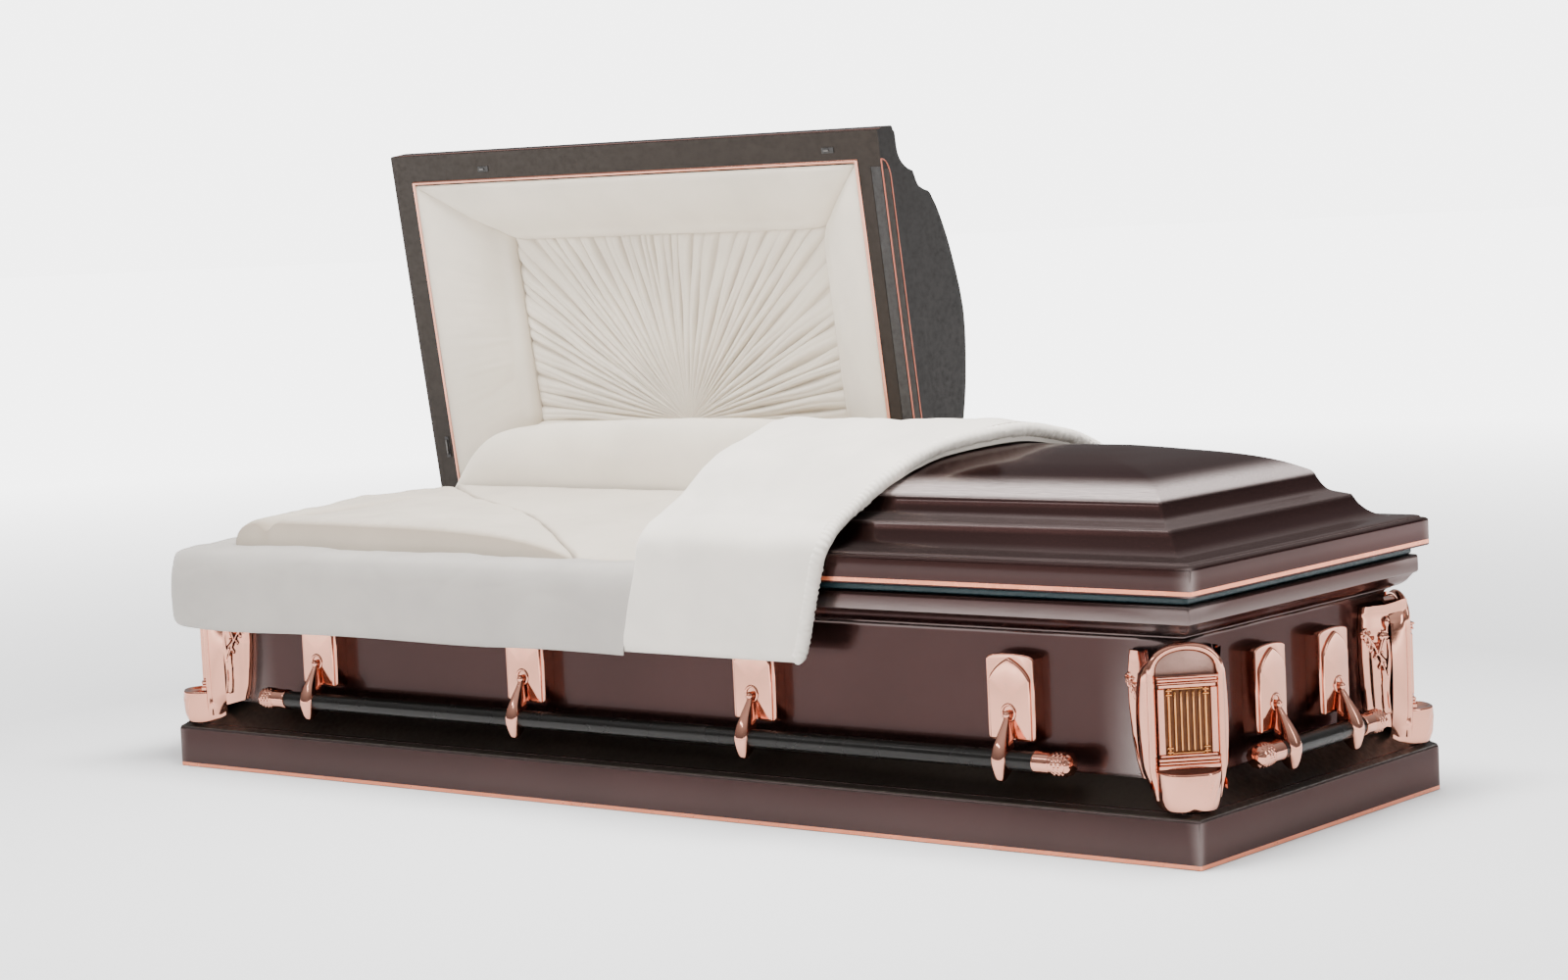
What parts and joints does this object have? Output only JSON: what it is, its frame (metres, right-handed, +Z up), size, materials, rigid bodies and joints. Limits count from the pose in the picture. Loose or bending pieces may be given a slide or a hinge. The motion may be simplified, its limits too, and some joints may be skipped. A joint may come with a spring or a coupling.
{
  "type": "funeral casket",
  "caption": "Full-size metal casket with split lid, open head half, padded lining and throw, stepped lids, swing bars on lugs and column corner castings.",
  "frame": {"origin": "centre of the base's underside", "axes": "+X to the foot end, +Y to the hinge side, +Z up"},
  "size_m": [2.1547, 0.8519, 1.0741],
  "materials": {
    "enamel": "brushed, glossy reddish brown",
    "copper_plate": "bright rose copper plating",
    "gilt": "satin",
    "bar": "glossy near-black",
    "gasket": "matt",
    "velvet": "soft ivory velvet",
    "ticking": "plain weave"
  },
  "bodies": {
    "body": {"shell": "enamel", "gasket": "gasket", "mattress": "ticking", "bed_cover": "velvet", "pillow": "velvet", "extendover": "velvet", "back_roll": "velvet", "lug_front_1": "copper_plate", "lug_front_2": "copper_plate", "lug_front_3": "copper_plate", "lug_front_4": "copper_plate", "lug_back_1": "copper_plate", "lug_back_2": "copper_plate", "lug_back_3": "copper_plate", "lug_back_4": "copper_plate", "lug_foot_1": "copper_plate", "lug_foot_2": "copper_plate", "lug_head_1": "copper_plate", "lug_head_2": "copper_plate", "corner_front_foot": "copper_plate", "column_front_foot": "gilt", "corner_front_head": "copper_plate", "column_front_head": "gilt", "corner_back_foot": "copper_plate", "column_back_foot": "gilt", "corner_back_head": "copper_plate", "column_back_head": "gilt"},
    "head_lid": {"head_lid": "enamel", "head_lid_trim": "copper_plate", "head_lid_lining": "velvet", "sunburst_panel": "velvet"},
    "foot_lid": {"foot_lid": "enamel", "foot_lid_lining": "velvet", "throw": "velvet"},
    "swing_bar_front": {"bar_front": "bar", "tip_front_head": "copper_plate", "tip_front_foot": "copper_plate", "arm_front_1": "copper_plate", "arm_front_2": "copper_plate", "arm_front_3": "copper_plate", "arm_front_4": "copper_plate"},
    "swing_bar_back": {"bar_back": "bar", "tip_back_foot": "copper_plate", "tip_back_head": "copper_plate", "arm_back_1": "copper_plate", "arm_back_2": "copper_plate", "arm_back_3": "copper_plate", "arm_back_4": "copper_plate"},
    "swing_bar_foot": {"bar_foot": "bar", "tip_foot_front": "copper_plate", "tip_foot_back": "copper_plate", "arm_foot_1": "copper_plate", "arm_foot_2": "copper_plate"},
    "swing_bar_head": {"bar_head": "bar", "tip_head_back": "copper_plate", "tip_head_front": "copper_plate", "arm_head_1": "copper_plate", "arm_head_2": "copper_plate"}
  },
  "joints": [
    {"name": "head_lid_hinge", "type": "hinge", "parent": "body", "child": "head_lid", "pos_m": [0, 0.346, 0.383], "axis": [1, 0, 0], "range_deg": [0, 82], "deforming": ["throw", "extendover", "back_roll", "bed_cover", "pillow"]},
    {"name": "foot_lid_hinge", "type": "hinge", "parent": "body", "child": "foot_lid", "pos_m": [0, 0.346, 0.383], "axis": [-1, 0, 0], "range_deg": [0, 82]},
    {"name": "bar_front_swing", "type": "hinge", "parent": "body", "child": "swing_bar_front", "pos_m": [0, -0.32, 0.196], "axis": [-1, 0, 0], "range_deg": [0, 72]},
    {"name": "bar_back_swing", "type": "hinge", "parent": "body", "child": "swing_bar_back", "pos_m": [0, 0.32, 0.196], "axis": [1, 0, 0], "range_deg": [0, 72]},
    {"name": "bar_foot_swing", "type": "hinge", "parent": "body", "child": "swing_bar_foot", "pos_m": [1.035, 0, 0.196], "axis": [0, -1, 0], "range_deg": [0, 72]},
    {"name": "bar_head_swing", "type": "hinge", "parent": "body", "child": "swing_bar_head", "pos_m": [-1.035, 0, 0.196], "axis": [0, 1, 0], "range_deg": [0, 72]}
  ]
}
